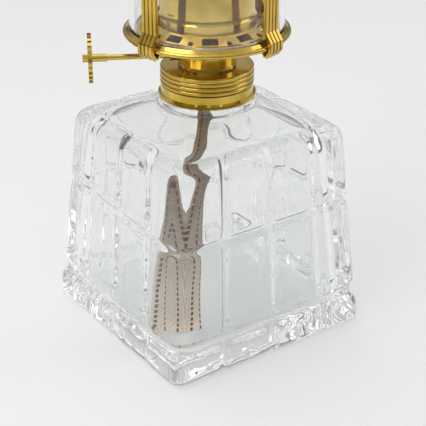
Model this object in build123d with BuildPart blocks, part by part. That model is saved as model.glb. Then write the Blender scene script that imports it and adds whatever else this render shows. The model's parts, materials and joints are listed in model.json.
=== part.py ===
"""Oil lamp: a pressed glass font, a brass flat-wick burner and a glass chimney.

Millimetres, +Z up. The origin is on the lamp's axis at the underside of the font,
and the font's four faces look along X and Y. Heights run up one chain of named
levels, from the table to the chimney's mouth.
"""
import math
import os

from build123d import *

os.makedirs("parts", exist_ok=True)

# ---------------------------------------------------------------- glass font
foot_half = 50.0          # half the width across the foot row
shoulder_half = 42.5      # half the width just under the shoulder edge
font_height = 89.3        # table to shoulder edge
font_corner = 6.0         # rounding of the upright edges
font_wall = 7.4           # thickness of the pressed walls
font_floor = 9.0          # thickness of the floor
row_split = (17.6, 59.4)  # heights of the two level grooves
groove_depth = 1.6        # depth of level and upright grooves
groove_width = 5.0        # mouth of a groove
column_split = 0.52       # outer upright grooves, as a share of the half width
shoulder_rise = 10.9      # shoulder edge to the foot of the neck
neck_exposed = 3.1        # bare glass neck under the collar
neck_seat = 4.6           # glass neck inside the collar
seat_radius = 17.9        # glass neck inside the collar
neck_wall = 3.9           # glass around the font's mouth

# ---------------------------------------------------------------- collar
cement_gap = 0.55         # plaster between glass and brass
collar_wall = 0.85        # brass over the plaster
flange_reach = 1.18       # the foot flange stands out this much
collar_height = 11.5
thread_ledge = 0.3        # the thread's bore is this much under the glass neck
thread_pitch = 1.95
thread_turns = 3

# ---------------------------------------------------------------- burner body
run_gap = 0.05            # running clearance, radial
seat_gap = 0.10           # clearance of pieces that drop over each other
sheet = 0.5               # brass sheet
skirt_length = 6.0        # threaded skirt below the disc
disc_reach = 0.1          # the disc stands out past the collar
disc_thick = 1.5
throat_foot = 12.3        # throat radius at the disc
throat_top = 14.2         # throat radius at the bowl
throat_height = 11.9
air_holes = 12
air_hole_radius = 2.0

# ---------------------------------------------------------------- gallery
shelf_rise = 5.0          # throat top to the shelf that carries the chimney
rim_reach = 2.55          # the rolled bead stands out past the chimney
bead_radius = 1.0
bead_drop = 2.2           # bead centre below the shelf
shelf_thick = 0.7
shelf_width = 5.25        # from the chimney's outside in to the shelf's inner edge
cone_rise = 1.8           # top of the air cone above the shelf
cone_ledge = 0.05         # the cone's top stands out past the dome's drum
cone_slots = 10
slot_width = 6.2
slot_reach = (0.9, 4.2)   # slots, outwards from the cone's top edge
key_head = 1.1            # keyholes: radius of the head
key_tail = 1.0            # and width of the tail
key_reach = (3.9, 5.1)    # and where head and tail lie
slot_angle = 238.0        # world angle of one slot

# ---------------------------------------------------------------- wick and winder
winder_angle = 151.5      # world angle of the winder shaft
wick_width = 16.0
wick_thick = 2.0
wick_top_stand = 1.5      # wick above its tube
tube_gap = 0.35           # wick to tube wall
tube_wall = 0.4
tube_drop = 6.3           # wick tube below the disc's top
tube_height = 35.7        # wick tube above the disc's top
shaft_radius = 1.15
shaft_rise = 5.5          # shaft above the disc's top
shaft_end = 51.0          # outer end of the shaft from the axis
sprocket_tip = 2.8
sprocket_root = 2.0
sprocket_teeth = 10
sprocket_thick = 1.2
sprocket_pitch = 5.0
bite_gap = 0.25           # sprocket tips to the wick
bush_radius = 2.1
bush_length = 5.0
knob_radius = 10.1
knob_thick = 1.6
knob_teeth = 24
knob_holes = 6
knob_place = 47.2         # inner face of the knob wheel from the axis
sleeve_radius = 1.6
sleeve_length = 6.2

# ---------------------------------------------------------------- dome
drum_radius = 20.35
drum_height = 3.5
drum_taper = 0.25         # the drum narrows this much to its top
shoulder_fold = 0.7       # and the fold above it this much more
dome_height = 27.0
dome_wall_radius = 18.7   # upright wall at its top
slot_margin = (1.5, 2.25)  # flame slot around the wick, along and across it

# ---------------------------------------------------------------- chimney and prongs
chimney_radius = 31.75    # base, outside
chimney_wall = 2.3
chimney_height = 172.0
chimney_straight = 25.0
chimney_bulge = 38.5
chimney_mouth = 21.5
prong_angles = (192.0, 285.5, 12.0, 105.0)
prong_width = 8.3
prong_height = 28.0       # above the shelf
prong_sheet = 0.6
rib_height = 0.5
rib_count = 4

# ---------------------------------------------------------------- wick tail
tail_angle = 221.0        # world angle the tail falls towards
tail_gap = 0.3            # between the wick's end and the tail
tail_rise = 0.6           # the tail's top above the collar's foot

# ---------------------------------------------------------------- levels
z_neck_foot = font_height + shoulder_rise
z_collar = z_neck_foot + neck_exposed
z_neck_top = z_collar + neck_seat
z_collar_top = z_collar + collar_height
z_disc = z_collar_top + disc_thick
z_throat = z_disc + throat_height
z_shelf = z_throat + shelf_rise
z_bead = z_shelf - bead_drop
z_cone = z_shelf + cone_rise
z_shaft = z_disc + shaft_rise
z_tube_top = z_disc + tube_height
z_tail_top = z_collar + tail_rise
z_wick_foot = z_tail_top + tail_gap
neck_bore = seat_radius - neck_wall
collar_bore = seat_radius + cement_gap
collar_band = collar_bore + collar_wall
collar_flange = collar_band + flange_reach
neck_radius = collar_flange - 0.18
thread_bore = seat_radius - thread_ledge
disc_radius = collar_band + disc_reach
rim_radius = chimney_radius + rim_reach
shelf_inner = chimney_radius - shelf_width
cone_top_radius = drum_radius + cone_ledge
shaft_offset = wick_thick / 2 + bite_gap + sprocket_tip


def direction(angle):
    """Unit vector at a world angle, level with the table."""
    return Vector(math.cos(math.radians(angle)), math.sin(math.radians(angle)), 0)


def radial_plane(angle):
    """Upright plane through the axis: x outwards at the angle, y up."""
    return Plane(origin=(0, 0, 0), x_dir=direction(angle), z_dir=direction(angle - 90))


def winder_plane(distance):
    """Plane across the winder shaft, at a distance from the lamp's axis."""
    along, aside = direction(winder_angle), direction(winder_angle + 90)
    centre = along * distance + aside * shaft_offset + Vector(0, 0, z_shaft)
    return Plane(origin=centre, x_dir=aside, z_dir=along)


def level_plane(height):
    """Level plane whose x runs along the wick's width."""
    return Plane(origin=(0, 0, height), x_dir=direction(winder_angle), z_dir=(0, 0, 1))


def save(piece, name):
    """Label a finished piece and write it."""
    piece.part.label = name
    export_step(piece.part, f"parts/{name}.step")


# ================================================================ glass font
face_drop = (foot_half - shoulder_half) / font_height
hollow_foot, hollow_top = font_floor + 3.0, font_height - 5.0
foot_inside, top_inside = foot_half - font_wall - 0.6, shoulder_half - font_wall


def face_half(height):
    """Half width of the font's faces at a height."""
    return foot_half + 0.1 - face_drop * height


def hollow_half(height):
    """Half width of the hollow inside the walls at a height."""
    share = (height - hollow_foot) / (hollow_top - hollow_foot)
    return foot_inside + share * (top_inside - foot_inside)


lip = groove_width / 2
low_split, high_split = row_split
outer_levels = [
    (0, foot_half - 1.4),
    (1.8, foot_half),
    (low_split - lip, foot_half),
    (low_split, face_half(low_split) - groove_depth),
    (low_split + lip, face_half(low_split + lip)),
    (high_split - lip, face_half(high_split - lip)),
    (high_split, face_half(high_split) - groove_depth),
    (high_split + lip, face_half(high_split + lip)),
    (font_height - 2.5, shoulder_half),
    (font_height, shoulder_half - 1.5),
]
# the shoulder: half width and corner rounding on the way from square to round
neck_square = neck_radius * 0.995
shoulder_levels = [
    (font_height + 0.42 * shoulder_rise, 0.80 * shoulder_half, 12.0),
    (font_height + 0.74 * shoulder_rise, 0.64 * shoulder_half, 18.0),
    (z_neck_foot - 0.6, neck_radius + 1.6, neck_radius),
    (z_neck_foot, neck_radius, neck_square),
]
mouth_square = neck_bore * 0.995
inner_levels = [
    (font_floor, foot_inside - 2.4, 10.0),
    (hollow_foot, foot_inside, 12.0),
    (hollow_top, top_inside, 13.0),
    (font_height, shoulder_half - font_wall - 2.5, 14.0),
    (font_height + 0.36 * shoulder_rise, shoulder_half - font_wall - 9.0, 17.0),
    (font_height + 0.68 * shoulder_rise, neck_bore + 4.5, neck_bore + 3.0),
    (z_neck_foot - 1.4, neck_bore, mouth_square),
]

with BuildPart() as glass_font:
    for height, half in outer_levels:
        with BuildSketch(Plane.XY.offset(height)):
            RectangleRounded(2 * half, 2 * half, font_corner)
    for height, half, corner in shoulder_levels:
        with BuildSketch(Plane.XY.offset(height)):
            RectangleRounded(2 * half, 2 * half, corner)
    loft(ruled=True)
    # neck: bare under the collar, narrower inside it
    with BuildSketch(Plane.XY.offset(z_neck_foot)):
        Circle(neck_radius)
    extrude(amount=neck_exposed - 0.05)
    with BuildSketch(Plane.XY.offset(z_collar - 0.1)):
        Circle(seat_radius)
    extrude(amount=neck_seat + 0.1)
    # upright grooves, three to a face, converging with the faces
    for face_angle in (0, 90, 180, 270):
        for share in (-column_split, 0, column_split):
            for height in (-1.0, font_height + 1.0):
                apex = face_half(height) - groove_depth
                with BuildSketch(Plane.XY.offset(height)):
                    with BuildLine():
                        along = share * face_half(height)
                        flare = 4.0 * groove_width / 2 / groove_depth
                        spots = [(apex, along), (apex + 4, along + flare), (apex + 4, along - flare)]
                        Polyline([Vector(*spot, 0).rotate(Axis.Z, face_angle) for spot in spots], close=True)
                    make_face()
            loft(ruled=True, mode=Mode.SUBTRACT)
    # the hollow, and the mouth through the neck
    for height, half, corner in inner_levels:
        with BuildSketch(Plane.XY.offset(height)):
            RectangleRounded(2 * half, 2 * half, corner)
    loft(ruled=True, mode=Mode.SUBTRACT)
    with BuildSketch(Plane.XY.offset(z_neck_foot - 2.0)):
        Circle(neck_bore)
    extrude(amount=z_neck_top - z_neck_foot + 3.0, mode=Mode.SUBTRACT)
save(glass_font, "glass_font")

# ================================================================ collar
with BuildPart() as cement_ring:
    with BuildSketch(Plane.XY.offset(z_collar + 0.2)):
        Circle(collar_bore)
        Circle(seat_radius, mode=Mode.SUBTRACT)
    extrude(amount=neck_seat - 0.4)
save(cement_ring, "cement_ring")

rib_valley = collar_band - 0.5
rib_foot = z_collar_top - 0.35 - thread_turns * thread_pitch
with BuildPart() as neck_collar:
    with BuildSketch(Plane.XZ):
        with BuildLine():
            flange = [(collar_bore, z_collar), (collar_flange - 0.3, z_collar), (collar_flange, z_collar + 0.6)]
            band = [(collar_flange - 0.2, z_collar + 1.4), (collar_band, z_collar + 2.1)]
            Polyline([*flange, *band, (collar_band, rib_foot - 0.2), (rib_valley, rib_foot)])
            for turn in range(thread_turns):
                low = rib_foot + turn * thread_pitch
                crest = (collar_band + 0.25, low + thread_pitch / 2)
                ThreePointArc((rib_valley, low), crest, (rib_valley, low + thread_pitch))
            top = rib_foot + thread_turns * thread_pitch
            rim = [(rib_valley, top), (rib_valley, z_collar_top), (thread_bore, z_collar_top)]
            ledge = [(thread_bore, z_neck_top + 0.1), (collar_bore, z_neck_top + 0.1), (collar_bore, z_collar)]
            Polyline([*rim, *ledge])
        make_face()
    revolve(axis=Axis.Z)
save(neck_collar, "neck_collar")

# ================================================================ burner body
skirt_radius = thread_bore - run_gap
disc_hole = throat_foot - sheet - 0.9
with BuildPart() as burner_base:
    with BuildSketch(Plane.XZ):
        with BuildLine():
            skirt_foot = z_collar_top - skirt_length
            Polyline((disc_hole, z_disc), (disc_radius - 0.7, z_disc))
            ThreePointArc(
                (disc_radius - 0.7, z_disc),
                (disc_radius + 0.05, z_collar_top + disc_thick / 2),
                (disc_radius - 0.7, z_collar_top),
            )
            Polyline(
                (disc_radius - 0.7, z_collar_top),
                (skirt_radius, z_collar_top),
                (skirt_radius, skirt_foot),
                (skirt_radius - 0.7, skirt_foot),
                (skirt_radius - 0.7, z_disc - 0.8),
                (disc_hole, z_disc - 0.8),
                (disc_hole, z_disc),
            )
        make_face()
    revolve(axis=Axis.Z)
save(burner_base, "burner_base")

with BuildPart() as burner_throat:
    with BuildSketch(Plane.XZ):
        with BuildLine():
            foot = (throat_foot, z_disc)
            waist = (throat_foot - 0.3, z_disc + 1.4)
            crown = (throat_top, z_throat)
            outer = [foot, waist]
            inner = [(throat_foot - 0.3 - sheet, z_disc + 1.4), (throat_foot - sheet, z_disc)]
            Polyline(outer)
            ThreePointArc(waist, (throat_foot + 0.35, z_disc + 0.55 * throat_height), crown)
            Line(crown, (throat_top - sheet, z_throat))
            ThreePointArc(
                (throat_top - sheet, z_throat),
                (throat_foot + 0.35 - sheet, z_disc + 0.55 * throat_height),
                inner[0],
            )
            Polyline([*inner, foot])
        make_face()
    revolve(axis=Axis.Z)
    # the bush enters on the knob's side, the shaft's tip runs in the far wall
    with BuildSketch(winder_plane(0)):
        Circle(bush_radius)
    extrude(amount=throat_top + 4, mode=Mode.SUBTRACT)
    with BuildSketch(winder_plane(0)):
        Circle(shaft_radius + run_gap)
    extrude(amount=-(throat_top + 4), mode=Mode.SUBTRACT)
save(burner_throat, "burner_throat")

# the cone's flange is crimped between the shelf above and the air bowl below
bowl_outer = shelf_inner + 2.6
z_flange = z_shelf - shelf_thick
with BuildPart() as air_bowl:
    with BuildSketch(Plane.XZ):
        with BuildLine():
            low, high = z_throat, z_flange - sheet
            Polyline(
                (throat_top - sheet, low),
                (throat_top + 3.0, low),
                (bowl_outer, high - sheet - 0.1),
                (bowl_outer, high),
                (shelf_inner - 0.3, high),
                (throat_top + 2.8, low + sheet),
                (throat_top - sheet, low + sheet),
                close=True,
            )
        make_face()
    revolve(axis=Axis.Z)
    with BuildSketch(Plane.XY.offset(z_throat - 1)):
        with PolarLocations((throat_top + shelf_inner + 3.0) / 2, air_holes):
            Circle(air_hole_radius)
    extrude(amount=shelf_rise + 1, mode=Mode.SUBTRACT)
save(air_bowl, "air_bowl")

shelf_edge = chimney_radius + 0.25
bead_centre = rim_radius - bead_radius
with BuildPart() as gallery_plate:
    with BuildSketch(Plane.XZ):
        with BuildLine():
            Polyline(
                (bead_centre - 0.4, z_bead),
                (shelf_edge - 0.7, z_flange),
                (shelf_inner, z_flange),
                (shelf_inner, z_shelf),
                (shelf_edge, z_shelf),
                (bead_centre + 0.2, z_bead + 0.6),
                close=True,
            )
        make_face()
        with Locations((bead_centre, z_bead)):
            Circle(bead_radius)
    revolve(axis=Axis.Z)
save(gallery_plate, "gallery_plate")

cone_inner = drum_radius - drum_taper - 2 * sheet - seat_gap
cone_foot = shelf_inner - 0.9
with BuildPart() as air_cone:
    with BuildSketch(Plane.XZ):
        with BuildLine():
            Polyline(
                (bowl_outer, z_flange - sheet),
                (bowl_outer, z_flange),
                (cone_foot, z_flange),
                (cone_top_radius, z_cone),
                (cone_inner + sheet, z_cone),
                (cone_inner + sheet, z_cone + drum_height - 1.0),
                (cone_inner, z_cone + drum_height - 1.0),
                (cone_inner, z_cone - sheet),
                (cone_top_radius - 0.3, z_cone - sheet),
                (cone_foot - 0.3, z_flange - sheet),
                close=True,
            )
        make_face()
    revolve(axis=Axis.Z)
    slot_inner, slot_outer = (cone_top_radius + reach for reach in slot_reach)
    head_circle, tail_end = (cone_top_radius + reach for reach in key_reach)
    with BuildSketch(Plane.XY.offset(z_flange - 1)):
        with PolarLocations((slot_inner + slot_outer) / 2, cone_slots, start_angle=slot_angle):
            Rectangle(slot_outer - slot_inner, slot_width)
        key_angle = slot_angle + 180 / cone_slots
        with PolarLocations(head_circle, cone_slots, start_angle=key_angle):
            Circle(key_head)
        with PolarLocations((head_circle + tail_end) / 2, cone_slots, start_angle=key_angle):
            Rectangle(tail_end - head_circle, key_tail)
    extrude(amount=cone_rise + shelf_thick + 2, mode=Mode.SUBTRACT)
save(air_cone, "air_cone")

# ================================================================ wick tube
tube_inner = (wick_width + 2 * tube_gap, wick_thick + 2 * tube_gap)
tube_outer = (tube_inner[0] + 2 * tube_wall, tube_inner[1] + 2 * tube_wall)
sprocket_places = (-sprocket_pitch, 0, sprocket_pitch)

with BuildPart() as wick_tube:
    with BuildSketch(level_plane(z_disc - tube_drop)):
        RectangleRounded(*tube_outer, tube_outer[1] * 0.45)
        RectangleRounded(*tube_inner, tube_inner[1] * 0.38, mode=Mode.SUBTRACT)
    extrude(amount=tube_drop + tube_height)
    # windows that let the sprockets reach the wick
    for place in sprocket_places:
        with BuildSketch(winder_plane(place - sprocket_thick / 2 - 0.3)):
            Circle(sprocket_tip + 0.3)
        extrude(amount=sprocket_thick + 0.6, mode=Mode.SUBTRACT)
save(wick_tube, "wick_tube")

with BuildPart() as tube_plate:
    with BuildSketch(level_plane(z_disc)):
        Circle(throat_foot - sheet - 0.35)
        RectangleRounded(*tube_outer, tube_outer[1] * 0.45, mode=Mode.SUBTRACT)
        with Locations((0, -0.6 * throat_foot)):
            Circle(1.0, mode=Mode.SUBTRACT)
    extrude(amount=0.8)
save(tube_plate, "tube_plate")

# ================================================================ prongs
prong_inner = chimney_radius + seat_gap
hook_inner = rim_radius + 0.15
prong_path = [
    (prong_inner + 1.2, z_shelf + prong_height),
    (prong_inner, z_shelf + prong_height - 4.0),
    (prong_inner, z_shelf + 3.6),
    (hook_inner, z_shelf - 0.4),
    (hook_inner, z_bead - 1.2),
    (hook_inner - 1.9, z_bead - 3.5),
    (shelf_edge - 1.3, z_bead - 0.2),
]


def rib_places(count, width):
    """Centres of the ribs across a prong."""
    pitch = width / count
    return [(index - (count - 1) / 2) * pitch for index in range(count)]


for number, angle in enumerate(prong_angles, start=1):
    with BuildPart() as prong:
        with BuildSketch(radial_plane(angle)):
            with BuildLine():
                FilletPolyline(*prong_path, radius=0.5)
                offset(amount=prong_sheet, side=Side.LEFT)
            make_face()
        extrude(amount=prong_width / 2, both=True)
        for place in rib_places(rib_count, prong_width):
            with BuildSketch(radial_plane(angle).offset(place - 0.32 * prong_width / rib_count)):
                with BuildLine():
                    FilletPolyline(*prong_path[:6], radius=0.5)
                    offset(amount=prong_sheet + rib_height, side=Side.LEFT)
                make_face()
            extrude(amount=0.64 * prong_width / rib_count)
    save(prong, f"prong_{number}")

# ================================================================ winder
with BuildPart() as shaft_bush:
    bush_start = throat_foot - 1.6
    with BuildSketch(winder_plane(bush_start)):
        Circle(bush_radius)
        Circle(shaft_radius + run_gap, mode=Mode.SUBTRACT)
    extrude(amount=bush_length)
save(shaft_bush, "shaft_bush")

with BuildPart() as winder_shaft:
    shaft_tip = throat_foot + 1.0
    with BuildSketch(winder_plane(-shaft_tip)):
        Circle(shaft_radius)
    extrude(amount=shaft_tip + shaft_end)
    # the end is crimped to a small star that holds the knob
    with BuildSketch(winder_plane(knob_place + knob_thick)):
        Circle(shaft_radius + 0.15)
        with PolarLocations(shaft_radius + 0.1, 6):
            Circle(0.38)
    extrude(amount=shaft_end - knob_place - knob_thick)
save(winder_shaft, "winder_shaft")

for number, place in enumerate(sprocket_places, start=1):
    with BuildPart() as sprocket:
        with BuildSketch(winder_plane(place - sprocket_thick / 2)):
            Circle(sprocket_root)
            with PolarLocations(sprocket_root - 0.1, sprocket_teeth):
                Polygon((0, -0.5), (sprocket_tip - sprocket_root + 0.1, 0), (0, 0.5), align=None)
            Circle(shaft_radius, mode=Mode.SUBTRACT)
        extrude(amount=sprocket_thick)
    save(sprocket, f"sprocket_{number}")

with BuildPart() as knob_sleeve:
    with BuildSketch(winder_plane(knob_place - sleeve_length)):
        Circle(sleeve_radius)
        Circle(shaft_radius, mode=Mode.SUBTRACT)
    extrude(amount=sleeve_length)
save(knob_sleeve, "knob_sleeve")

with BuildPart() as knob_wheel:
    with BuildSketch(winder_plane(knob_place)):
        Circle(knob_radius)
        notch = math.pi * knob_radius / knob_teeth
        with PolarLocations(knob_radius, knob_teeth):
            Rectangle(1.4, notch, mode=Mode.SUBTRACT)
        with PolarLocations(0.58 * knob_radius, knob_holes):
            Circle(0.21 * knob_radius, mode=Mode.SUBTRACT)
        Circle(shaft_radius, mode=Mode.SUBTRACT)
    extrude(amount=knob_thick)
save(knob_wheel, "knob_wheel")

# ================================================================ dome
z_dome_top = z_cone + dome_height
z_dome_wall = z_dome_top - 11.0
flame_slot = (wick_width + 2 * slot_margin[0], wick_thick + 2 * slot_margin[1])


def dome_edge(inset):
    """One side of the dome's sheet, from the drum's foot up to the crown."""
    foot = (drum_radius - inset, z_cone)
    drum = (drum_radius - drum_taper - inset, z_cone + drum_height)
    wall_foot = (drum[0] - shoulder_fold, drum[1] + 3.2)
    wall_top = (dome_wall_radius - inset, z_dome_wall)
    crown = (0, z_dome_top - inset)
    Line(foot, drum)
    ThreePointArc(drum, (wall_foot[0] + 0.12, wall_foot[1] - 1.8), wall_foot)
    Line(wall_foot, wall_top)
    Spline(wall_top, crown, tangents=((0, 1), (-1, 0)))
    return foot, crown


with BuildPart() as dome:
    with BuildSketch(Plane.XZ):
        with BuildLine():
            outer_foot, outer_crown = dome_edge(0)
            inner_foot, inner_crown = dome_edge(sheet)
            Line(outer_foot, inner_foot)
            Line(outer_crown, inner_crown)
        make_face()
    revolve(axis=Axis.Z)
    with BuildSketch(level_plane(z_dome_wall + 1)):
        RectangleRounded(*flame_slot, 0.45 * flame_slot[1])
    extrude(amount=z_dome_top - z_dome_wall, mode=Mode.SUBTRACT)
save(dome, "dome")

# ================================================================ chimney
z_chimney_top = z_shelf + chimney_height


def chimney_edge(inset):
    """One side of the chimney's wall, from its base up to its mouth."""
    base = (chimney_radius - inset, z_shelf)
    neck = (chimney_radius - inset, z_shelf + chimney_straight)
    mouth = (chimney_mouth - inset, z_chimney_top)
    bulge = (chimney_bulge - inset, z_shelf + 0.32 * chimney_height)
    taper = (0.35 * chimney_bulge + 0.65 * chimney_mouth - inset, z_shelf + 0.66 * chimney_height)
    Line(base, neck)
    Spline(neck, bulge, taper, mouth, tangents=((0, 1), (0, 1)))
    return base, mouth


with BuildPart() as chimney_glass:
    with BuildSketch(Plane.XZ):
        with BuildLine():
            outer_base, outer_mouth = chimney_edge(0)
            inner_base, inner_mouth = chimney_edge(chimney_wall)
            Line(outer_base, inner_base)
            Line(outer_mouth, inner_mouth)
        make_face()
    revolve(axis=Axis.Z)
save(chimney_glass, "chimney_glass")

# ================================================================ wick
with BuildPart() as wick:
    with BuildSketch(level_plane(z_wick_foot)):
        Rectangle(wick_width, wick_thick)
    extrude(amount=z_tube_top + wick_top_stand - z_wick_foot)
save(wick, "wick")

# the tail falls from the neck to the font's corner and turns along the floor
tail_side = -wick_thick / 2
# shares of the hollow's half width (out) and of the collar's level (up)
tail_shares = ((0.60, 0.78), (1.00, 0.59), (1.02, 0.35))
tail_path = [
    (tail_side, z_tail_top),
    (tail_side, z_collar - 6.5),
    *((out * hollow_half(up * z_collar), up * z_collar) for out, up in tail_shares),
    (foot_inside, font_floor + 8.0),
    (foot_inside + 2.5, font_floor + 1.2),
]
with BuildPart() as wick_tail:
    with BuildSketch(radial_plane(tail_angle)):
        with BuildLine():
            FilletPolyline(*tail_path, radius=5.0)
            offset(amount=wick_thick, side=Side.LEFT)
        make_face()
    extrude(amount=wick_width / 2, both=True)
save(wick_tail, "wick_tail")
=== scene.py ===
"""Oil lamp: pressed glass font, brass flat-wick burner, glass chimney and cotton wick.

Laid out as an add-on: sizes and finishes are properties, each piece has an operator,
and a sidebar panel lists them. Metres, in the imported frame.
"""
import json
import math

import bmesh
import bpy
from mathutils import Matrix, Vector


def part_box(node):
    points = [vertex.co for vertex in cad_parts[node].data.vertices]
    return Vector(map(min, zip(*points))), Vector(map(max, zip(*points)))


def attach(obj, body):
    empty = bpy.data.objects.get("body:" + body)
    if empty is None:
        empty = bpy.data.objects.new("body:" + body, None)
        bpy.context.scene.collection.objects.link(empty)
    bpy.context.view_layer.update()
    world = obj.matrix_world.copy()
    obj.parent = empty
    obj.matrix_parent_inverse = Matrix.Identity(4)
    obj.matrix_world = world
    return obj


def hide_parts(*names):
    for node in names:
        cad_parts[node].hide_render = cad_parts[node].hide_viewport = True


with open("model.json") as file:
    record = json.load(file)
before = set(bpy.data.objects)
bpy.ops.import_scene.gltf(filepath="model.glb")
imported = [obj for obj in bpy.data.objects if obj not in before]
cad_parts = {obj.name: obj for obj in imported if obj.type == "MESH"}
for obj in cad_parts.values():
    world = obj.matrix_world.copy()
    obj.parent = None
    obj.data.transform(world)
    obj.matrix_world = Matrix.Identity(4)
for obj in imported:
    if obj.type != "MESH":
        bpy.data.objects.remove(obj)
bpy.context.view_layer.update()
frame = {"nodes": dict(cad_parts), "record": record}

bl_info = {
    "name": "Oil Lamp",
    "version": (1, 0, 0),
    "blender": (4, 5, 0),
    "location": "View3D > Sidebar > Lamp",
    "description": "Models and finishes a pressed glass oil lamp on its packed frame",
    "category": "Object",
}

MM = 0.001
SAME_LEVEL = 1e-5  # vertices closer in height than this are on one level
BRASS_NODES = [part["node"] for part in frame["record"]["subparts"]
               if part["material_slot"] == "polished_brass"]
CHIMNEY_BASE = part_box("chimney_glass")[0].z
WICK_LOW, WICK_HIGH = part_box("wick")


# ------------------------------------------------------------------ properties
def size(name, description, default):
    """A length property in metres."""
    return bpy.props.FloatProperty(name=name, description=description, default=default,
                                   subtype="DISTANCE", unit="LENGTH", precision=4)


def share(name, description, default):
    """A plain factor from 0 to 1."""
    return bpy.props.FloatProperty(name=name, description=description, default=default,
                                   min=0.0, max=1.0, subtype="FACTOR")


def colour(name, description, default):
    """A linear colour."""
    return bpy.props.FloatVectorProperty(name=name, description=description, default=default,
                                         size=3, min=0.0, max=1.0, subtype="COLOR")


class LampFontSettings(bpy.types.PropertyGroup):
    """Sizes and finish of the pressed glass font."""

    foot_half: size("Foot half width", "Half the width across the foot row", 0.050)
    taper: bpy.props.FloatProperty(name="Taper", description="Narrowing per metre of height",
                                   default=1.68)
    shoulder: size("Shoulder height", "Table to the shoulder's edge", 0.0893)
    low_row: size("Lower groove", "Height of the lower level groove", 0.0176)
    high_row: size("Upper groove", "Height of the upper level groove", 0.0594)
    column: share("Column split", "Outer upright grooves, as a share of the half width", 0.52)
    groove: size("Groove depth", "Depth of the grooves between the blocks", 0.0022)
    lip: size("Lip width", "Width of each block's rounded lip", 0.0015)
    wall: size("Wall", "Thickness of the pressed walls", 0.0074)
    floor: size("Floor", "Thickness of the floor", 0.009)
    tint: colour("Glass tint", "Colour of the glass", (0.945, 0.954, 0.954))
    waviness: share("Waviness", "Strength of the pressing marks", 0.12)


class LampBurnerSettings(bpy.types.PropertyGroup):
    """Finish of the brass burner."""

    bright: colour("Bright brass", "Colour of the polished metal", (0.70, 0.50, 0.11))
    deep: colour("Deep brass", "Colour where the lacquer is thicker", (0.50, 0.34, 0.05))
    roughness: share("Roughness", "Roughness of the polish", 0.10)
    wear: share("Wear", "Amount of fine scratches", 0.35)


class LampWickSettings(bpy.types.PropertyGroup):
    """Sizes and finish of the cotton wick."""

    width: size("Width", "Width of the flat wick", 0.016)
    thickness: size("Thickness", "Thickness of the flat wick", 0.0019)
    cotton: colour("Cotton", "Colour of the dry cotton", (0.98, 0.87, 0.73))
    # a darker colour that the wick turns to towards its top
    darker_top: colour("Soaked cotton", "Colour of the upper, handled part", (0.36, 0.28, 0.20))
    tracer: colour("Tracer", "Colour of the tracer threads", (0.12, 0.008, 0.012))


class LampChimneySettings(bpy.types.PropertyGroup):
    """Sizes and finish of the glass chimney."""

    wall: size("Wall", "Thickness of the blown glass", 0.0021)
    tint: colour("Glass tint", "Colour of the glass", (0.975, 0.985, 0.985))


class LampStageSettings(bpy.types.PropertyGroup):
    """Floor, light and camera."""

    floor: colour("Floor", "Colour of the floor", (0.88, 0.88, 0.88))
    sky: bpy.props.FloatProperty(name="Sky", description="Strength of the soft light all round",
                                 default=1.0, min=0.0)
    key: bpy.props.FloatProperty(name="Key light", description="Power of the softboxes, in watts",
                                 default=0.4, min=0.0, unit="POWER")
    distance: size("Camera distance", "From the camera to the point it looks at", 0.543646)
    lens: bpy.props.FloatProperty(name="Lens", description="Focal length in millimetres",
                                  default=104.86)
    azimuth: bpy.props.FloatProperty(name="Azimuth", description="Camera angle round the lamp",
                                     default=math.radians(-34.884), subtype="ANGLE")
    elevation: bpy.props.FloatProperty(name="Elevation", description="Camera angle above the table",
                                       default=math.radians(27.499), subtype="ANGLE")


SETTINGS = {
    "lamp_font": LampFontSettings,
    "lamp_burner": LampBurnerSettings,
    "lamp_wick": LampWickSettings,
    "lamp_chimney": LampChimneySettings,
    "lamp_stage": LampStageSettings,
}


# ------------------------------------------------------------------ mesh helpers
def fresh():
    """Leaves edit mode and selects nothing."""
    if bpy.context.object and bpy.context.object.mode != "OBJECT":
        bpy.ops.object.mode_set(mode="OBJECT")
    bpy.ops.object.select_all(action="DESELECT")


def primitive(name, add, **where):
    """Adds a primitive, puts its place in its mesh and opens it for editing."""
    fresh()
    add(**where)
    piece = bpy.context.object
    piece.name = piece.data.name = name
    bpy.ops.object.transform_apply(location=True, rotation=True, scale=True)
    bpy.ops.object.mode_set(mode="EDIT")
    bpy.ops.mesh.select_mode(type="VERT")
    return piece


def pick(piece, verts=None, edges=None, faces=None, any_number=False):
    """Selects what passes the test, in edit mode; nothing found is an error unless any_number."""
    bm = bmesh.from_edit_mesh(piece.data)
    for group in (bm.verts, bm.edges, bm.faces):
        for item in group:
            item.select = False
    kind = "VERT" if verts else "EDGE" if edges else "FACE"
    bm.select_mode = {kind}
    bpy.context.tool_settings.mesh_select_mode = (kind == "VERT", kind == "EDGE", kind == "FACE")
    group, test = {"VERT": (bm.verts, verts), "EDGE": (bm.edges, edges), "FACE": (bm.faces, faces)}[kind]
    count = 0
    for item in group:
        if test(item):
            item.select_set(True)
            count += 1
    bm.select_flush_mode()
    bmesh.update_edit_mesh(piece.data)
    if not count and not any_number:
        raise RuntimeError(f"{piece.name}: nothing to select")


def cut(piece, point, normal):
    """Cuts the whole mesh along a plane."""
    bpy.ops.mesh.select_all(action="SELECT")
    bpy.ops.mesh.bisect(plane_co=point, plane_no=normal, use_fill=False)


def taper(piece, start, factor):
    """Scales each level of vertices above a height about the axis, by factor(height)."""
    bm = bmesh.from_edit_mesh(piece.data)
    heights = sorted(vert.co.z for vert in bm.verts if vert.co.z > start)
    levels = []
    for height in heights:
        if levels and height - levels[-1][1] < SAME_LEVEL:
            levels[-1][1] = height
        else:
            levels.append([height, height])
    for low, high in levels:
        pick(piece, verts=lambda vert: low - 1e-7 <= vert.co.z <= high + 1e-7)
        scale = factor((low + high) / 2)
        bpy.ops.transform.resize(value=(scale, scale, 1), center_override=(0, 0, low))


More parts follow.
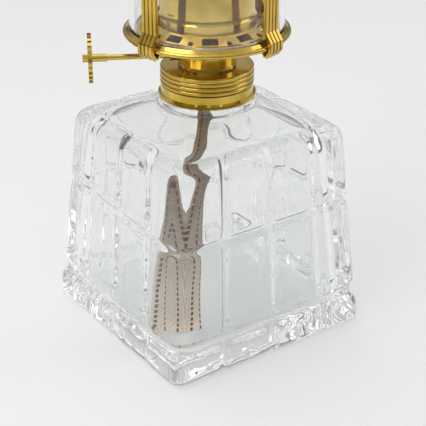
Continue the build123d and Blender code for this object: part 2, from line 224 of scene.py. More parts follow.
def ring_size(piece):
    """Mean distance of the selected vertices from the axis."""
    bm = bmesh.from_edit_mesh(piece.data)
    spans = [vert.co.xy.length for vert in bm.verts if vert.select]
    return sum(spans) / len(spans)


def next_ring(piece, height, radius, roundness=1.0):
    """Extrudes the selected rim to a height and a mean radius, and rounds it."""
    bm = bmesh.from_edit_mesh(piece.data)
    now = next(vert.co.z for vert in bm.verts if vert.select)
    bpy.ops.mesh.extrude_edges_move(TRANSFORM_OT_translate={"value": (0, 0, height - now)})
    if roundness:
        bpy.ops.transform.tosphere(value=roundness, center_override=(0, 0, height))
    factor = radius / ring_size(piece)
    bpy.ops.transform.resize(value=(factor, factor, 1), center_override=(0, 0, height))


def modifier(piece, kind, **values):
    """Adds a modifier and applies it."""
    fresh()
    piece.select_set(True)
    bpy.context.view_layer.objects.active = piece
    step = piece.modifiers.new(kind.title(), kind)
    for key, value in values.items():
        setattr(step, key, value)
    bpy.ops.object.modifier_apply(modifier=step.name)


def subdivide_smooth(piece, levels):
    """Rounds a piece with an applied subdivision surface, shaded smooth."""
    modifier(piece, "SUBSURF", levels=levels, render_levels=levels)
    bpy.ops.object.shade_smooth()


def outward(piece):
    """Merges doubles and turns the faces of a closed shell outwards, in edit mode."""
    bpy.ops.mesh.select_all(action="SELECT")
    bpy.ops.mesh.remove_doubles(threshold=1e-6)
    bpy.ops.mesh.normals_make_consistent(inside=False)


def finish_piece(piece, material, slot, body, *nodes):
    """Gives a piece its finish, its body and the nodes it stands for."""
    piece.data.materials.clear()
    piece.data.materials.append(material)
    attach(piece, body)
    if nodes:
        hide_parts(*nodes)
    fresh()


# ------------------------------------------------------------------ node helpers
def put(tree, kind, place, settings=None, **inputs):
    """Adds a node; keywords set its inputs, a socket as a value links it."""
    made = tree.nodes.new(kind)
    made.location = (place[0] * 200, place[1] * -180)
    for key, value in (settings or {}).items():
        setattr(made, key, value)
    for key, value in inputs.items():
        socket = made.inputs[int(key[1:])] if key[0] == "i" and key[1:].isdigit() else \
            made.inputs[key.replace("_", " ")]
        if isinstance(value, bpy.types.NodeSocket):
            tree.links.new(value, socket)
        else:
            socket.default_value = value
    return made


def ramp(tree, place, factor, *stops):
    """Adds a colour ramp with (position, colour) stops."""
    made = put(tree, "ShaderNodeValToRGB", place, Fac=factor)
    band = made.color_ramp.elements
    while len(band) < len(stops):
        band.new(0.5)
    for element, (position, shade) in zip(band, stops):
        element.position = position
        element.color = (*shade, 1) if isinstance(shade, tuple) else (shade, shade, shade, 1)
    return made.outputs["Color"]


def new_material(name):
    """An empty node material and its output node."""
    made = bpy.data.materials.new(name)
    made.use_nodes = True
    made.node_tree.nodes.clear()
    return made, made.node_tree, made.node_tree.nodes.new("ShaderNodeOutputMaterial")


def group_of(name, inputs, outputs):
    """A new shader group with named sockets; returns the tree, its input and output nodes."""
    tree = bpy.data.node_groups.new(name, "ShaderNodeTree")
    for label, kind, default in inputs:
        socket = tree.interface.new_socket(label, in_out="INPUT", socket_type=kind)
        if default is not None:
            socket.default_value = default
    for label, kind in outputs:
        tree.interface.new_socket(label, in_out="OUTPUT", socket_type=kind)
    return tree, tree.nodes.new("NodeGroupInput"), tree.nodes.new("NodeGroupOutput")


def use(tree, name, place, **inputs):
    """Places a group in a material."""
    return put(tree, "ShaderNodeGroup", place, {"node_tree": bpy.data.node_groups[name]}, **inputs)


FLOAT, COLOR, VECTOR = "NodeSocketFloat", "NodeSocketColor", "NodeSocketVector"


def build_polish_group():
    """Handled metal: hairlines, faint smears and a slow drift of tone."""
    tree, into, out = group_of(
        "handled_polish",
        [("Vector", VECTOR, None), ("Bright", COLOR, (0.9, 0.65, 0.2, 1)),
         ("Deep", COLOR, (0.7, 0.4, 0.1, 1)), ("Roughness", FLOAT, 0.1), ("Wear", FLOAT, 0.3)],
        [("Color", COLOR), ("Roughness", FLOAT), ("Normal", VECTOR)])
    at = into.outputs["Vector"]
    drift = put(tree, "ShaderNodeTexNoise", (1, 0), Vector=at, Scale=90.0, Detail=3.0)
    smear = put(tree, "ShaderNodeTexNoise", (1, 1), Vector=at, Scale=340.0, Detail=4.0, Roughness=0.6)
    stretch = put(tree, "ShaderNodeMapping", (1, 2), Vector=at, Scale=(1.0, 1.0, 9.0))
    hair = put(tree, "ShaderNodeTexNoise", (2, 2), Vector=stretch.outputs[0], Scale=900.0, Detail=2.0)
    tone = put(tree, "ShaderNodeMapRange", (2, 0), Value=drift.outputs[0], From_Min=0.35, From_Max=0.65)
    mixed = put(tree, "ShaderNodeMix", (3, 0), {"data_type": "RGBA"})
    tree.links.new(tone.outputs[0], mixed.inputs[0])
    tree.links.new(into.outputs["Bright"], mixed.inputs[6])
    tree.links.new(into.outputs["Deep"], mixed.inputs[7])
    haze = put(tree, "ShaderNodeMapRange", (2, 1), Value=smear.outputs[0], From_Min=0.4, From_Max=0.75,
               To_Min=0.0, To_Max=0.12)
    amount = put(tree, "ShaderNodeMath", (3, 1), {"operation": "MULTIPLY"},
                 i0=haze.outputs[0], i1=into.outputs["Wear"])
    rough = put(tree, "ShaderNodeMath", (4, 1), {"operation": "ADD"},
                i0=amount.outputs[0], i1=into.outputs["Roughness"])
    strength = put(tree, "ShaderNodeMath", (3, 2), {"operation": "MULTIPLY"},
                   i0=into.outputs["Wear"], i1=0.12)
    bump = put(tree, "ShaderNodeBump", (4, 2), Strength=strength.outputs[0], Distance=0.0002,
               Height=hair.outputs[0])
    tree.links.new(mixed.outputs[2], out.inputs["Color"])
    tree.links.new(rough.outputs[0], out.inputs["Roughness"])
    tree.links.new(bump.outputs[0], out.inputs["Normal"])


def build_flow_group():
    """Pressed or blown glass: slow waves with a little orange peel."""
    tree, into, out = group_of(
        "glass_flow",
        [("Vector", VECTOR, None), ("Wave Scale", FLOAT, 60.0), ("Strength", FLOAT, 0.2)],
        [("Roughness", FLOAT), ("Normal", VECTOR)])
    at = into.outputs["Vector"]
    slow = put(tree, "ShaderNodeTexNoise", (1, 0), Vector=at, Scale=into.outputs["Wave Scale"],
               Detail=1.0)
    fine = put(tree, "ShaderNodeTexNoise", (1, 1), Vector=at, Scale=700.0, Detail=3.0)
    little = put(tree, "ShaderNodeMath", (2, 1), {"operation": "MULTIPLY"}, i0=fine.outputs[0], i1=0.0006)
    both = put(tree, "ShaderNodeMath", (3, 0), {"operation": "ADD"}, i0=slow.outputs[0],
               i1=little.outputs[0])
    bump = put(tree, "ShaderNodeBump", (4, 0), Strength=into.outputs["Strength"], Distance=0.0015,
               Height=both.outputs[0])
    haze = put(tree, "ShaderNodeMapRange", (3, 1), Value=fine.outputs[0], From_Min=0.55, From_Max=0.8,
               To_Min=0.0, To_Max=0.01)
    tree.links.new(haze.outputs[0], out.inputs["Roughness"])
    tree.links.new(bump.outputs[0], out.inputs["Normal"])


def build_weave_group():
    """Flat woven tape: warp and weft as a height, with the gaps between threads as a mask."""
    tree, into, out = group_of(
        "tape_weave",
        [("Vector", VECTOR, None), ("Warp", FLOAT, 22.0), ("Weft", FLOAT, 1100.0)],
        [("Height", FLOAT), ("Gap", FLOAT)])
    parts = put(tree, "ShaderNodeSeparateXYZ", (1, 0), Vector=into.outputs["Vector"])
    waves = []
    for row, (axis, rate) in enumerate((("X", "Warp"), ("Y", "Weft"))):
        turned = put(tree, "ShaderNodeMath", (2, row), {"operation": "MULTIPLY"},
                     i0=parts.outputs[axis], i1=into.outputs[rate])
        waves.append(put(tree, "ShaderNodeMath", (3, row), {"operation": "PINGPONG"},
                         i0=turned.outputs[0], i1=0.5))
    parity = put(tree, "ShaderNodeMath", (4, 0), {"operation": "MULTIPLY"},
                 i0=waves[0].outputs[0], i1=waves[1].outputs[0])
    height = put(tree, "ShaderNodeMath", (5, 0), {"operation": "MULTIPLY"}, i0=parity.outputs[0], i1=4.0)
    gap = put(tree, "ShaderNodeMapRange", (5, 1), Value=height.outputs[0], From_Min=0.0, From_Max=0.35,
              To_Min=1.0, To_Max=0.0)
    tree.links.new(height.outputs[0], out.inputs["Height"])
    tree.links.new(gap.outputs[0], out.inputs["Gap"])


def brass_material():
    """Polished yellow brass under thin lacquer."""
    looks = bpy.context.scene.lamp_burner
    made, tree, out = new_material("lacquered_brass")
    coords = put(tree, "ShaderNodeTexCoord", (-3, 0))
    polish = use(tree, "handled_polish", (-1, 0), Vector=coords.outputs["Object"],
                 Bright=(*looks.bright, 1), Deep=(*looks.deep, 1),
                 Roughness=looks.roughness, Wear=looks.wear)
    shader = put(tree, "ShaderNodeBsdfPrincipled", (1, 0), Base_Color=polish.outputs["Color"],
                 Metallic=1.0, Roughness=polish.outputs["Roughness"],
                 Normal=polish.outputs["Normal"], Coat_Weight=0.25, Coat_Roughness=0.04)
    tree.links.new(shader.outputs[0], out.inputs["Surface"])
    return made


def glass_material(name, tint, scale, strength):
    """Clear glass that lets light through its own shadow."""
    made, tree, out = new_material(name)
    coords = put(tree, "ShaderNodeTexCoord", (-3, 0))
    flow = use(tree, "glass_flow", (-1, 0), Vector=coords.outputs["Object"],
               Wave_Scale=scale, Strength=strength)
    shader = put(tree, "ShaderNodeBsdfPrincipled", (1, 0), Base_Color=(*tint, 1), IOR=1.5,
                 Roughness=flow.outputs["Roughness"], Transmission_Weight=1.0,
                 Normal=flow.outputs["Normal"])
    clear = put(tree, "ShaderNodeBsdfTransparent", (1, 2), Color=(0.93, 0.94, 0.94, 1))
    rays = put(tree, "ShaderNodeLightPath", (1, -2))
    mixed = put(tree, "ShaderNodeMixShader", (2, 0), Fac=rays.outputs["Is Shadow Ray"])
    tree.links.new(shader.outputs[0], mixed.inputs[1])
    tree.links.new(clear.outputs[0], mixed.inputs[2])
    tree.links.new(mixed.outputs[0], out.inputs["Surface"])
    return made


def cement_material():
    """Set plaster with fine grit."""
    made, tree, out = new_material("set_plaster")
    coords = put(tree, "ShaderNodeTexCoord", (-3, 0))
    grit = put(tree, "ShaderNodeTexNoise", (-2, 0), Vector=coords.outputs["Object"], Scale=900.0,
               Detail=6.0)
    shade = ramp(tree, (-1, 0), grit.outputs[0], (0.3, (0.62, 0.59, 0.52)), (0.7, (0.80, 0.78, 0.72)))
    bump = put(tree, "ShaderNodeBump", (0, 1), Strength=0.4, Distance=0.0002, Height=grit.outputs[0])
    shader = put(tree, "ShaderNodeBsdfPrincipled", (1, 0), Base_Color=shade, Roughness=0.9,
                 Normal=bump.outputs[0])
    tree.links.new(shader.outputs[0], out.inputs["Surface"])
    return made


def wick_material():
    """Woven cotton tape: cream below, darker towards the top, red tracer threads."""
    looks = bpy.context.scene.lamp_wick
    made, tree, out = new_material("woven_cotton")
    lay = put(tree, "ShaderNodeUVMap", (-5, 0), {"uv_map": "tape"})
    coords = put(tree, "ShaderNodeTexCoord", (-5, 3))
    weave = use(tree, "tape_weave", (-3, 0), Vector=lay.outputs[0])
    parts = put(tree, "ShaderNodeSeparateXYZ", (-4, 1), Vector=lay.outputs[0])
    # the colour turns darker towards the top: above a height made ragged by noise, the upper colour takes
    # over
    rise = put(tree, "ShaderNodeSeparateXYZ", (-4, 3), Vector=coords.outputs["Object"])
    blotch = put(tree, "ShaderNodeTexNoise", (-4, 4), Vector=coords.outputs["Object"], Scale=140.0,
                 Detail=4.0)
    ragged = put(tree, "ShaderNodeMath", (-3, 4), {"operation": "MULTIPLY_ADD"},
                 i0=blotch.outputs[0], i1=0.03, i2=rise.outputs["Z"])
    darker_top = put(tree, "ShaderNodeMapRange", (-2, 4), Value=ragged.outputs[0], From_Min=0.045,
                 From_Max=0.085)
    body = put(tree, "ShaderNodeMix", (-1, 3), {"data_type": "RGBA"}, i6=(*looks.cotton, 1),
               i7=(*looks.darker_top, 1), i0=darker_top.outputs[0])
    shaded = put(tree, "ShaderNodeMix", (0, 2), {"data_type": "RGBA", "blend_type": "MULTIPLY"},
                 i6=body.outputs[2], i7=(0.62, 0.56, 0.50, 1), i0=weave.outputs["Gap"])
    # three dashed tracer threads along the tape
    near = None
    for row, place in enumerate((0.1, 0.5, 0.9)):
        away = put(tree, "ShaderNodeMath", (-3, 5 + row), {"operation": "COMPARE"},
                   i0=parts.outputs["X"], i1=place, i2=0.042)
        near = away if near is None else put(tree, "ShaderNodeMath", (-2, 5 + row),
                                             {"operation": "MAXIMUM"}, i0=near.outputs[0],
                                             i1=away.outputs[0])
    dashes = put(tree, "ShaderNodeMath", (-3, 8), {"operation": "MULTIPLY"}, i0=parts.outputs["Y"],
                 i1=420.0)
    step = put(tree, "ShaderNodeMath", (-2, 8), {"operation": "FRACT"}, i0=dashes.outputs[0])
    dash = put(tree, "ShaderNodeMath", (-1, 8), {"operation": "LESS_THAN"}, i0=step.outputs[0], i1=0.62)
    thread = put(tree, "ShaderNodeMath", (0, 6), {"operation": "MULTIPLY"}, i0=near.outputs[0],
                 i1=dash.outputs[0])
    painted = put(tree, "ShaderNodeMix", (1, 2), {"data_type": "RGBA"}, i6=shaded.outputs[2],
                  i7=(*looks.tracer, 1), i0=thread.outputs[0])
    bump = put(tree, "ShaderNodeBump", (1, 4), Strength=0.7, Distance=0.0004,
               Height=weave.outputs["Height"])
    shader = put(tree, "ShaderNodeBsdfPrincipled", (2, 0), Base_Color=painted.outputs[2],
                 Roughness=0.88, Normal=bump.outputs[0], Sheen_Weight=0.25, Sheen_Roughness=0.5)
    tree.links.new(shader.outputs[0], out.inputs["Surface"])
    return made


def finish_of(name, make, *values):
    """The material of that name, made on first use."""
    return bpy.data.materials.get(name) or make(*values)


# ------------------------------------------------------------------ font
def square_shell(name, half, low, high, places, rows, corner):
    """An open-topped box cut into columns and rows, its upright edges bevelled."""
    shell = primitive(name, bpy.ops.mesh.primitive_cube_add, size=1,
                      location=(0, 0, (low + high) / 2), scale=(2 * half, 2 * half, high - low))
    for place in places:
        cut(shell, (place, 0, 0), (1, 0, 0))
        cut(shell, (0, place, 0), (0, 1, 0))
    pick(shell, edges=lambda edge: all(min(abs(vert.co.x), abs(vert.co.y)) > half - 1e-5
                                       for vert in edge.verts)
         and abs(edge.verts[0].co.z - edge.verts[1].co.z) > 1e-4)
    bpy.ops.mesh.bevel(offset=corner, segments=2, affect="EDGES")
    for height in rows:
        cut(shell, (0, 0, height), (0, 0, 1))
    pick(shell, faces=lambda face: face.normal.z > 0.9 and face.calc_center_median().z > high - 1e-5)
    bpy.ops.mesh.delete(type="FACE")
    return shell


def with_sides(lines, margin):
    """Each line with a support line either side of it."""
    return sorted(line + step for line in lines for step in (-margin, 0.0, margin))


def open_rim(piece, height):
    """Selects the open rim at a height."""
    pick(piece, edges=lambda edge: edge.is_boundary and
         all(abs(vert.co.z - height) < 1e-5 for vert in edge.verts))


# rise above the shoulder's edge, reach and roundness of each ring, metres
SHOULDER_RINGS = (
    (0.0058, 1.07 * 0.0320, 0.22), (0.0082, 1.06 * 0.0270, 0.5), (0.0099, 0.0232, 0.85),
    (0.0107, 0.0209, 1.0), (0.0113, 0.0203, 1.0), (0.0138, 0.0202, 1.0), (0.0140, 0.0178, 1.0),
    (0.0158, 0.0178, 1.0), (0.0184, 0.0176, 1.0), (0.0185, 0.0145, 1.0), (0.0140, 0.0140, 1.0),
    (0.0110, 0.0141, 1.0))
HOLLOW_RINGS = (
    (0.0000, 1.12 * 0.0335, 0.0), (0.0040, 1.10 * 0.0265, 0.25), (0.0072, 0.0205, 0.7),
    (0.0088, 0.0160, 1.0), (0.0094, 0.0142, 1.0))


class LAMP_OT_font(bpy.types.Operator):
    """Models the pressed glass font: blocks, grooves, shoulder, neck and hollow"""

    bl_idname = "lamp.font"
    bl_label = "Glass font"

    def blocks(self, form):
        """The outside up to the shoulder's edge, with its open rim selected."""
        base = form.foot_half - form.groove
        top = form.shoulder
        corner = 0.0050
        foot_edge, top_edge = 0.0045, 0.0060
        column_margin, row_margin = 0.0066, 0.0064
        rim, rim_share = top + 0.0026, 0.855
        foot_spread, block_spread = 1.026, 1.002
        columns = [share * base for share in (-form.column, 0.0, form.column)]
        rows = [form.low_row, form.high_row]
        places = with_sides(columns, column_margin)
        heights = [foot_edge, *with_sides(rows, row_margin), top - top_edge]
        shell = square_shell("pressed_font", base, 0.0, top, places, heights, corner)

        # the shoulder starts inside the blocks, so that their grooves run over its edge
        open_rim(shell, top)
        next_ring(shell, rim, rim_share * ring_size(shell), 0.0)

        def block(face):
            """Which block a face belongs to: its column, 0 where it wraps a corner, and row."""
            spot = face.calc_center_median()
            spread = base / max(abs(spot.x), abs(spot.y))
            across = min(abs(spot.x), abs(spot.y)) * spread
            along = (spot.y if abs(spot.x) > abs(spot.y) else spot.x) * spread
            column = sum(along > line for line in columns)
            return (0 if across > base - corner + 1e-5 else column % 3), sum(spot.z > line for line in rows)

        # the blocks stand out of the grooves with rounded lips, no two neighbours at once
        lips = ((form.lip, 0.76 * form.groove), (0.0009, 0.18 * form.groove), (0.0016, 0.06 * form.groove))
        low_lips = ((1.6 * form.lip, 0.36 * form.groove), (0.0010, 0.02 * form.groove))
        for column in (0, 1, 2):
            for odd in (0, 1):
                for low in (True, False):
                    pick(shell, any_number=True, faces=lambda face: face.normal.z > -0.1
                         and block(face)[0] == column and block(face)[1] % 2 == odd
                         and (block(face)[1] == 0) == low)
                    for thickness, depth in (low_lips if low else lips):
                        bpy.ops.mesh.inset(thickness=thickness, depth=depth, use_even_offset=True)
        taper(shell, -MM, lambda height: foot_spread if height < form.low_row - 0.0035 else
              block_spread - form.taper * height)
        open_rim(shell, rim)
        return shell

    def hollow(self, form):
        """The space inside the walls, up to the neck."""
        wide = form.foot_half - form.wall - 0.0006
        crest = form.shoulder - 0.005
        floor_share, lean = 0.93, 0.166
        columns = [part * wide for part in (-0.78, -0.55, -0.25, 0.25, 0.55, 0.78)]
        rows = (form.floor + 0.0025, form.floor + 0.006, 0.036, 0.060, 0.078)
        hollow = square_shell("font_hollow", wide, form.floor, crest, columns, rows, 0.0070)
        taper(hollow, 0.0, lambda height: floor_share if height < form.floor + 0.001 else
              1.0 - (height - form.floor) / (crest - form.floor) * lean)
        open_rim(hollow, crest)
        for rise, reach, roundness in HOLLOW_RINGS:
            next_ring(hollow, form.shoulder + rise, reach, roundness)
        return hollow

    def execute(self, context):
        form = context.scene.lamp_font
        shell = self.blocks(form)
        for rise, reach, roundness in SHOULDER_RINGS:
            next_ring(shell, form.shoulder + rise, reach, roundness)
        fresh()
        hollow = self.hollow(form)
        fresh()
        shell.select_set(True)
        hollow.select_set(True)
        bpy.context.view_layer.objects.active = shell
        bpy.ops.object.join()
        bpy.ops.object.mode_set(mode="EDIT")
        pick(shell, edges=lambda edge: edge.is_boundary)
        bpy.ops.mesh.bridge_edge_loops()
        outward(shell)
        subdivide_smooth(shell, 2)
        wave_scale = 70.0
        glass = finish_of("pressed_glass", glass_material, "pressed_glass", form.tint, wave_scale,
                          form.waviness)
        finish_piece(shell, glass, "font_glass", "font", "glass_font")
        return {"FINISHED"}


# ------------------------------------------------------------------ chimney
CHIMNEY_PROFILE = (  # height above the base and outside radius, millimetres
    (0.0, 31.6), (1.0, 31.75), (24.0, 31.75), (29.5, 31.94), (37.7, 33.33), (43.8, 35.07),
    (50.1, 37.28), (57.1, 38.82), (64.3, 39.18), (73.0, 38.48), (81.3, 37.02), (90.9, 34.64),
    (101.2, 31.56), (111.1, 28.28), (122.7, 24.61), (132.7, 22.73), (146.1, 21.80),
    (160.0, 21.54), (171.0, 21.50), (172.0, 21.45))


class LAMP_OT_chimney(bpy.types.Operator):
    """Models the bulged glass chimney with fire-polished rims"""

    bl_idname = "lamp.chimney"
    bl_label = "Glass chimney"

    def execute(self, context):
        form = context.scene.lamp_chimney
        first = CHIMNEY_PROFILE[0][1] * MM
        rim_angle, rim_round = 1.2, 0.0005
        glass = primitive("blown_chimney", bpy.ops.mesh.primitive_circle_add, vertices=48,
                          radius=first, fill_type="NOTHING",
                          location=(0, 0, CHIMNEY_BASE))
        bpy.ops.mesh.select_all(action="SELECT")
        for rise, radius in CHIMNEY_PROFILE[1:]:
            next_ring(glass, CHIMNEY_BASE + rise * MM, radius * MM, 0.0)
        bpy.ops.mesh.select_all(action="SELECT")
        bpy.ops.mesh.normals_make_consistent(inside=False)
        modifier(glass, "SOLIDIFY", thickness=form.wall, offset=-1.0)
        fresh()
        glass.select_set(True)
        bpy.context.view_layer.objects.active = glass
        bpy.ops.object.mode_set(mode="EDIT")
        outward(glass)
        pick(glass, edges=lambda edge: len(edge.link_faces) == 2 and edge.calc_face_angle() > rim_angle)
        bpy.ops.mesh.bevel(offset=rim_round, segments=2, affect="EDGES")
        subdivide_smooth(glass, 2)
        wave_scale, waviness = 30.0, 0.03
        finish = finish_of("blown_glass", glass_material, "blown_glass", form.tint, wave_scale, waviness)
        finish_piece(glass, finish, "chimney_clear", "chimney", "chimney_glass")
        return {"FINISHED"}


# ------------------------------------------------------------------ wick
def tape(name, centres, across, thickness, width, sag=0.0):
    """A flat woven tape along a line, thinner at its edges: each centre has its own width direction."""
    columns = 12
    half, half_at_edge = 0.5, 0.28
    spans = [0.0]
    for start, end in zip(centres, centres[1:]):
        spans.append(spans[-1] + (end - start).length)
    bm = bmesh.new()
    lay = bm.loops.layers.uv.new("tape")
    grid = []
    for index, (centre, side) in enumerate(zip(centres, across)):
        ahead = centres[min(index + 1, len(centres) - 1)] - centres[max(index - 1, 0)]
        facing = side.cross(ahead).normalized()
        rows = []
        for column in range(columns + 1):
            part = column / columns
            bow = sag * (4 * part * (1 - part) - 0.5)
            thin = thickness * (half if 0 < column < columns else half_at_edge)
            spot = centre + side * ((part - 0.5) * width) + facing * bow
            rows.append((bm.verts.new(spot + facing * thin), bm.verts.new(spot - facing * thin)))
        grid.append(rows)

    def skin(corners, marks):
        face = bm.faces.new(corners)
        for loop, mark in zip(face.loops, marks):
            loop[lay].uv = mark

    for row in range(len(grid) - 1):
        for column in range(columns):
            a, b = grid[row][column], grid[row][column + 1]
            d, c = grid[row + 1][column], grid[row + 1][column + 1]
            u0, u1 = column / columns, (column + 1) / columns
            marks = [(u0, spans[row]), (u1, spans[row]), (u1, spans[row + 1]), (u0, spans[row + 1])]
            skin([a[0], b[0], c[0], d[0]], marks)
            skin([d[1], c[1], b[1], a[1]], marks[::-1])
        for column, turn in ((0, False), (columns, True)):
            u = column / columns
            a, b = grid[row][column], grid[row + 1][column]
            ring = [a[0], b[0], b[1], a[1]]
            marks = [(u, spans[row]), (u, spans[row + 1]), (u, spans[row + 1]), (u, spans[row])]
            skin(ring[::-1] if turn else ring, marks[::-1] if turn else marks)
    for row, turn in ((0, True), (len(grid) - 1, False)):
        for column in range(columns):
            a, b = grid[row][column], grid[row][column + 1]
            u0, u1 = column / columns, (column + 1) / columns
            ring = [a[0], b[0], b[1], a[1]]
            marks = [(u0, spans[row]), (u1, spans[row]), (u1, spans[row]), (u0, spans[row])]
            skin(ring[::-1] if turn else ring, marks[::-1] if turn else marks)
    bmesh.ops.recalc_face_normals(bm, faces=bm.faces)
    mesh = bpy.data.meshes.new(name)
    bm.to_mesh(mesh)
    bm.free()
    piece = bpy.data.objects.new(name, mesh)
    bpy.context.scene.collection.objects.link(piece)
    for face in mesh.polygons:
        face.use_smooth = True
    return piece, spans[-1]


def heading(degrees):
    """Level unit vector at a world angle."""
    return Vector((math.cos(math.radians(degrees)), math.sin(math.radians(degrees)), 0))


def smooth_line(points, steps):
    """Points along a smooth curve through the given points, with their other values."""
    found = []
    for index in range(len(points) - 1):
        p0, p1 = points[max(index - 1, 0)], points[index]
        p2, p3 = points[index + 1], points[min(index + 2, len(points) - 1)]
        for step in range(steps):
            t = step / steps
            found.append(tuple(0.5 * (2 * b + (c - a) * t + (2 * a - 5 * b + 4 * c - d) * t * t
                                      + (3 * b - a - 3 * c + d) * t ** 3)
                               for a, b, c, d in zip(p0, p1, p2, p3)))
    found.append(tuple(points[-1]))
    return found


WINDER_ANGLE = 151.5  # the wick in its tube lies along the winder's shaft
TAIL_ANGLE = 221.0  # the tail falls this way, towards a corner of the font
TAIL_ROUTE = (  # outwards, sideways, height, millimetres, and the tape's world angle
    (0.0, 0.0, 103.6, 206.0), (0.0, 0.0, 100.0, 210.0), (1.0, 0.0, 95.6, 214.0),
    (5.2, 0.2, 89.2, 218.0), (12.0, 0.2, 82.6, 218.0), (21.0, -0.2, 76.2, 213.0),
    (29.0, -1.0, 68.5, 206.0), (32.3, -2.0, 58.5, 200.0), (34.1, -3.1, 47.0, 194.0),
    (35.4, -4.0, 35.0, 190.0), (36.8, -4.4, 23.0, 185.0), (38.2, -3.8, 15.2, 174.0),
    (40.3, -2.6, 11.4, 152.0))


class LAMP_OT_wick(bpy.types.Operator):
    """Models the flat cotton wick in its tube and the tail that falls into the font"""

    bl_idname = "lamp.wick"
    bl_label = "Cotton wick"

    def execute(self, context):
        form = context.scene.lamp_wick
        cotton = finish_of("woven_cotton", wick_material)
        out, aside = heading(TAIL_ANGLE), heading(TAIL_ANGLE + 90)
        line = smooth_line(TAIL_ROUTE, 8)
        centres = [out * (a * MM) + aside * (b * MM) + Vector((0, 0, c * MM)) for a, b, c, _ in line]
        across = []
        for index, spot in enumerate(line):
            ahead = (centres[min(index + 1, len(centres) - 1)] - centres[max(index - 1, 0)]).normalized()
            side = heading(spot[3])
            across.append((side - ahead * side.dot(ahead)).normalized())
        tail, length = tape("wick_tail_tape", centres, across, form.thickness, form.width - 0.4 * MM,
                            sag=0.6 * MM)
        modifier(tail, "SUBSURF", levels=1, render_levels=1)
        finish_piece(tail, cotton, "wick_cotton", "tail", "wick_tail")
        foot, tip = WICK_LOW.z, WICK_HIGH.z
        steps = 24
        heights = [foot + (tip - foot) * step / steps for step in range(steps + 1)]
        strip, span = tape("wick_tape", [Vector((0, 0, height)) for height in heights],
                           [heading(WINDER_ANGLE)] * len(heights), form.thickness, form.width - 0.2 * MM)
        modifier(strip, "SUBSURF", levels=1, render_levels=1)
        finish_piece(strip, cotton, "wick_cotton", "wick", "wick")
        return {"FINISHED"}


# ------------------------------------------------------------------ burner
class LAMP_OT_burner(bpy.types.Operator):
    """Gives the burner, collar, prongs, winder and dome their brass finish"""

    bl_idname = "lamp.burner"
    bl_label = "Brass burner"

    def execute(self, context):
        brass = finish_of("lacquered_brass", brass_material)
        for name in BRASS_NODES:
            for slot in frame["nodes"][name].material_slots:
                slot.material = brass
        for slot in frame["nodes"]["cement_ring"].material_slots:
            slot.material = finish_of("set_plaster", cement_material)
        return {"FINISHED"}


# ------------------------------------------------------------------ stage
CAMERA_AIM = 0.046536  # height of the point on the lamp's axis that the camera looks at
CAMERA_SHIFT = 0.01404  # sideways shift of the frame, in frame widths


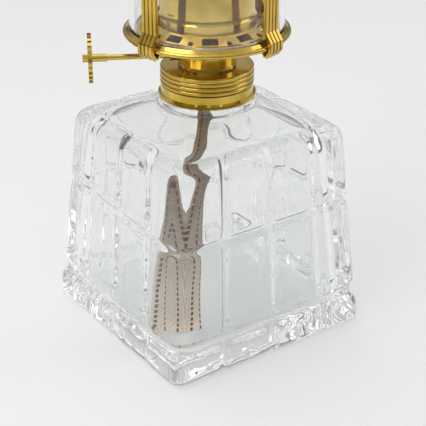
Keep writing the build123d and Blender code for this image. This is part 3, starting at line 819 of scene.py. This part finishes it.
class LAMP_OT_stage(bpy.types.Operator):
    """Sets the pale floor, the soft light and the camera"""

    bl_idname = "lamp.stage"
    bl_label = "Stage"

    def execute(self, context):
        form = context.scene.lamp_stage
        scene = context.scene
        floor = primitive("studio_floor", bpy.ops.mesh.primitive_plane_add, size=8.0,
                          location=(0, 0, -0.0002))
        fresh()
        made, tree, out = new_material("pale_floor")
        coords = put(tree, "ShaderNodeTexCoord", (-2, 0))
        mottle = put(tree, "ShaderNodeTexNoise", (-1, 0), Vector=coords.outputs["Object"], Scale=3.0)
        shade = ramp(tree, (0, 0), mottle.outputs[0], (0.0, tuple(c * 0.985 for c in form.floor)),
                     (1.0, tuple(form.floor)))
        shader = put(tree, "ShaderNodeBsdfPrincipled", (1, 0), Base_Color=shade, Roughness=0.75)
        tree.links.new(shader.outputs[0], out.inputs["Surface"])
        floor.data.materials.append(made)
        # soft light all round, darker low down
        world = bpy.data.worlds.new("soft_studio")
        scene.world = world
        world.use_nodes = True
        tree = world.node_tree
        tree.nodes.clear()
        coords = put(tree, "ShaderNodeTexCoord", (-3, 0))
        parts = put(tree, "ShaderNodeSeparateXYZ", (-2, 0), Vector=coords.outputs["Generated"])
        band = ramp(tree, (-1, 0), parts.outputs["Z"], (0.0, 0.15), (0.20, 0.28), (0.45, 0.55), (0.9, 0.70))
        light = put(tree, "ShaderNodeBackground", (1, 0), Color=band, Strength=form.sky)
        out = tree.nodes.new("ShaderNodeOutputWorld")
        tree.links.new(light.outputs[0], out.inputs["Surface"])
        for name, place, span, power in (
                ("key_softbox", (-0.9, -0.1, 1.0), (0.9, 0.9), 14.0 * form.key),
                ("fill_softbox", (1.0, -0.5, 0.7), (0.6, 1.0), 6.0 * form.key),
                ("top_softbox", (0.0, 0.4, 1.4), (1.2, 1.2), 10.0 * form.key)):
            lamp = bpy.data.lights.new(name, "AREA")
            lamp.shape = "RECTANGLE"
            lamp.size, lamp.size_y = span
            lamp.energy = power
            holder = bpy.data.objects.new(name, lamp)
            scene.collection.objects.link(holder)
            holder.location = place
            towards = Vector((0, 0, 0.1)) - holder.location
            holder.rotation_euler = towards.to_track_quat("-Z", "Y").to_euler()
        lens = bpy.data.cameras.new("portrait")
        lens.lens = form.lens
        lens.sensor_width = 36.0
        lens.shift_x = CAMERA_SHIFT
        lens.clip_start = 0.01
        camera = bpy.data.objects.new("portrait", lens)
        scene.collection.objects.link(camera)
        back = Vector((math.sin(form.azimuth) * math.cos(form.elevation),
                       -math.cos(form.azimuth) * math.cos(form.elevation), math.sin(form.elevation)))
        camera.location = Vector((0, 0, CAMERA_AIM)) + back * form.distance
        camera.rotation_euler = (-back).to_track_quat("-Z", "Y").to_euler()
        scene.camera = camera
        # thick clear glass passes light round many times before it leaves
        bounces = 32
        for limit in ("max_bounces", "transmission_bounces", "glossy_bounces", "transparent_max_bounces"):
            setattr(scene.cycles, limit, bounces)
        scene.view_settings.view_transform = "Standard"
        return {"FINISHED"}


PIECES = (LAMP_OT_font, LAMP_OT_chimney, LAMP_OT_wick, LAMP_OT_burner, LAMP_OT_stage)


class LAMP_PT_pieces(bpy.types.Panel):
    """Lists the lamp's pieces and settings"""

    bl_idname = "LAMP_PT_pieces"
    bl_label = "Oil lamp"
    bl_space_type = "VIEW_3D"
    bl_region_type = "UI"
    bl_category = "Lamp"

    def draw(self, context):
        for piece in PIECES:
            self.layout.operator(piece.bl_idname)
        for name in SETTINGS:
            box = self.layout.box()
            for key in SETTINGS[name].__annotations__:
                box.prop(getattr(context.scene, name), key)


def register():
    """Adds the classes and the scene's settings."""
    for group in SETTINGS.values():
        bpy.utils.register_class(group)
    for name, group in SETTINGS.items():
        setattr(bpy.types.Scene, name, bpy.props.PointerProperty(type=group))
    for kind in (*PIECES, LAMP_PT_pieces):
        bpy.utils.register_class(kind)


def unregister():
    """Removes them again."""
    for kind in reversed((*PIECES, LAMP_PT_pieces)):
        bpy.utils.unregister_class(kind)
    for name, group in SETTINGS.items():
        delattr(bpy.types.Scene, name)
        bpy.utils.unregister_class(group)


def main():
    """Builds the lamp piece by piece."""
    register()
    build_polish_group()
    build_flow_group()
    build_weave_group()
    bpy.ops.lamp.font()
    bpy.ops.lamp.chimney()
    bpy.ops.lamp.wick()
    bpy.ops.lamp.burner()
    bpy.ops.lamp.stage()


if __name__ == "__main__":
    main()
